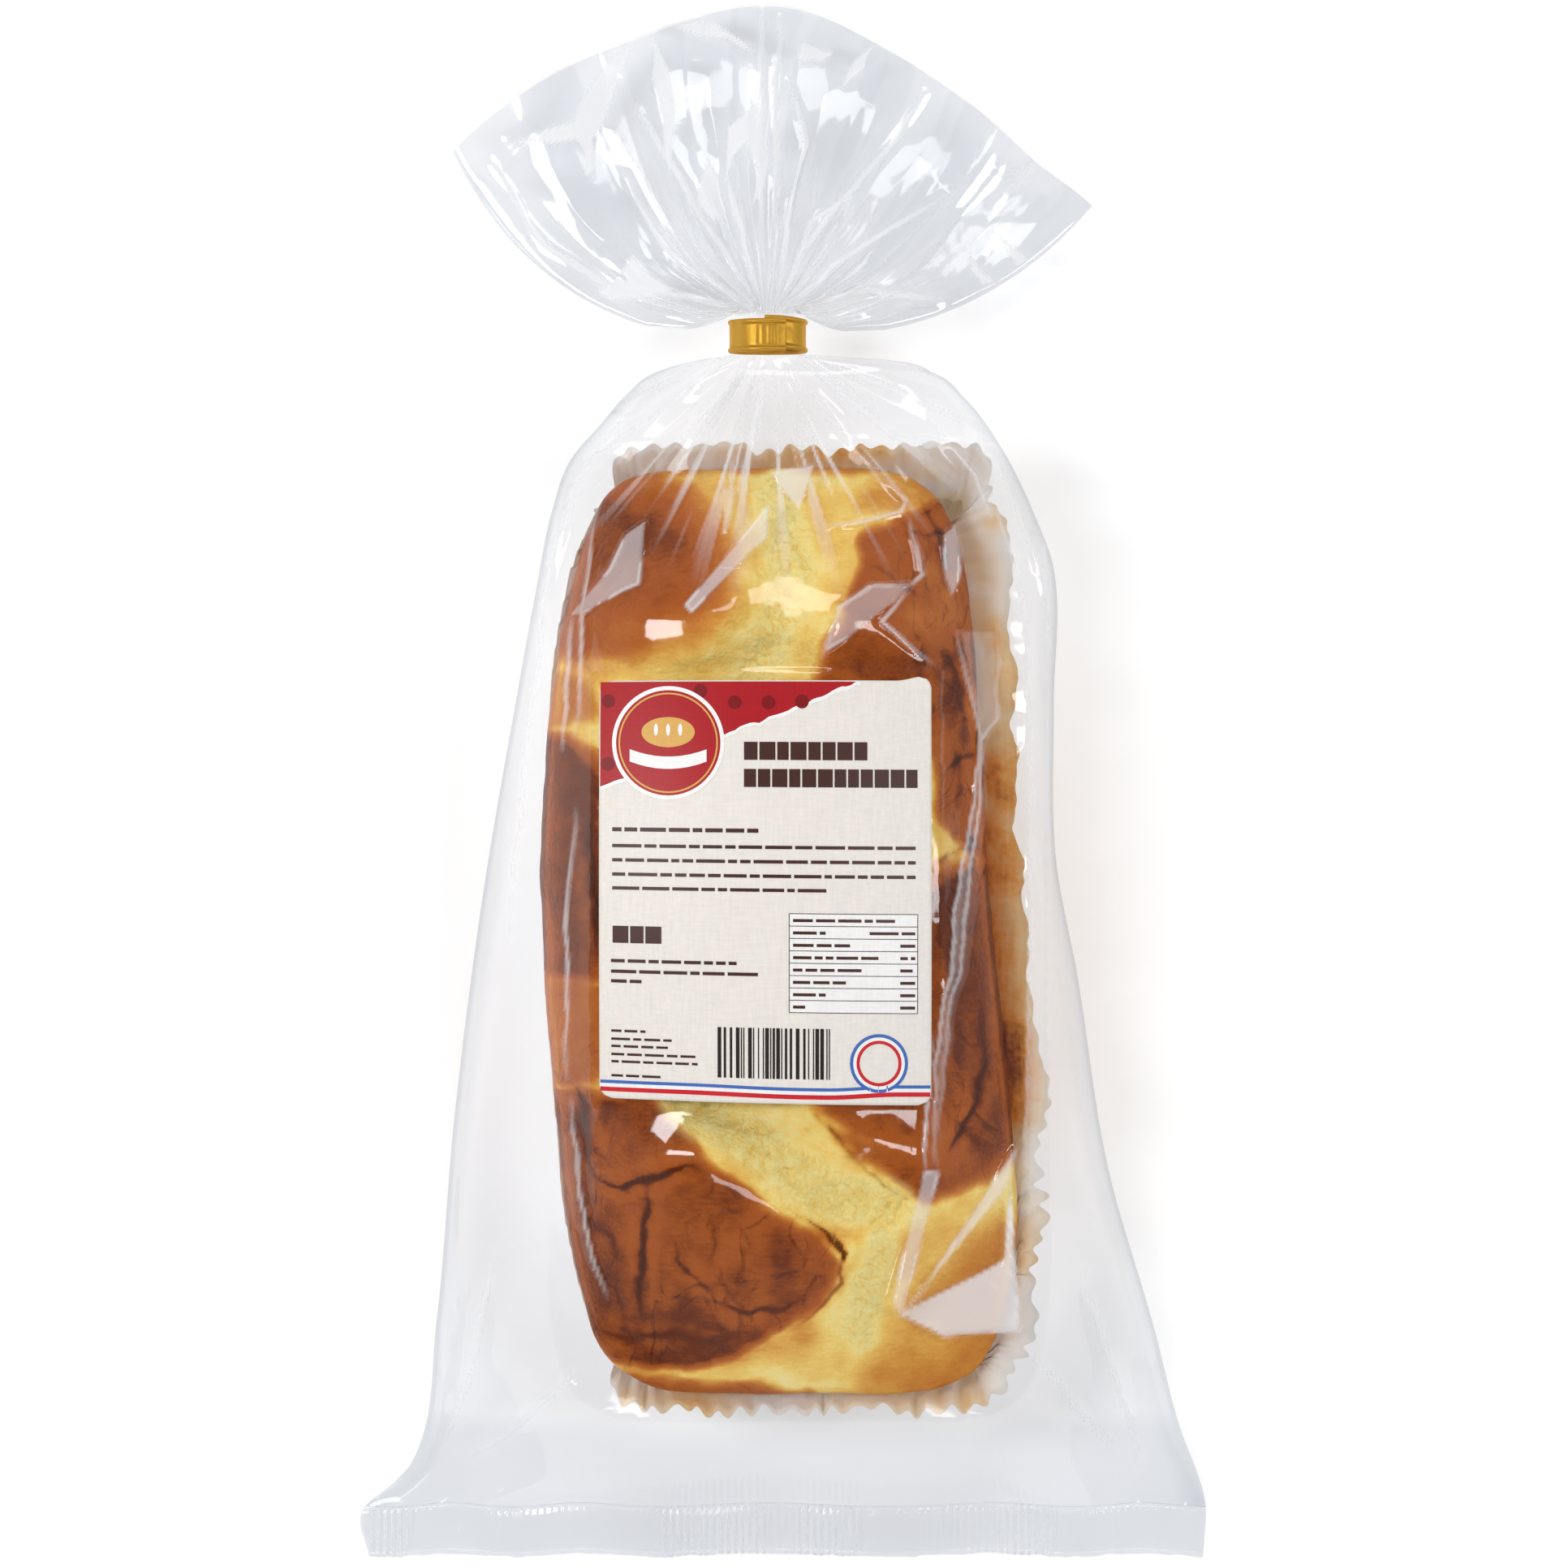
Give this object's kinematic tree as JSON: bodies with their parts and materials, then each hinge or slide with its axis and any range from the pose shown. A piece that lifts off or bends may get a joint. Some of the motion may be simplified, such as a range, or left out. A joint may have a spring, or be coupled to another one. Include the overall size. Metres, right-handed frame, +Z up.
{
  "type": "packed brioche loaf",
  "caption": "Braided brioche loaf in a fluted paper case, sealed in a clear film bag with a gathered ruffle, a tie band and a label on top.",
  "frame": {"origin": "on the surface that the pack rests on, under the middle of the whole pack seen from above", "axes": "+X to the right across the loaf as the label is read, +Y along the loaf towards the gathered neck, +Z up out of the label"},
  "size_m": [0.2184, 0.4001, 0.0771],
  "materials": {
    "film": "clear, glossy and creased",
    "crust": "baked, glazed crust, brown on the crowns and yellow in the valleys",
    "case_paper": "thin baking paper, matt, with fine flutes and brown stains",
    "gold_band": "metallised, glossy",
    "label_paper": "coated paper with a fine linen texture"
  },
  "bodies": {
    "root": {"bag": "film", "tie": "gold_band", "label": "label_paper"}
  },
  "joints": []
}
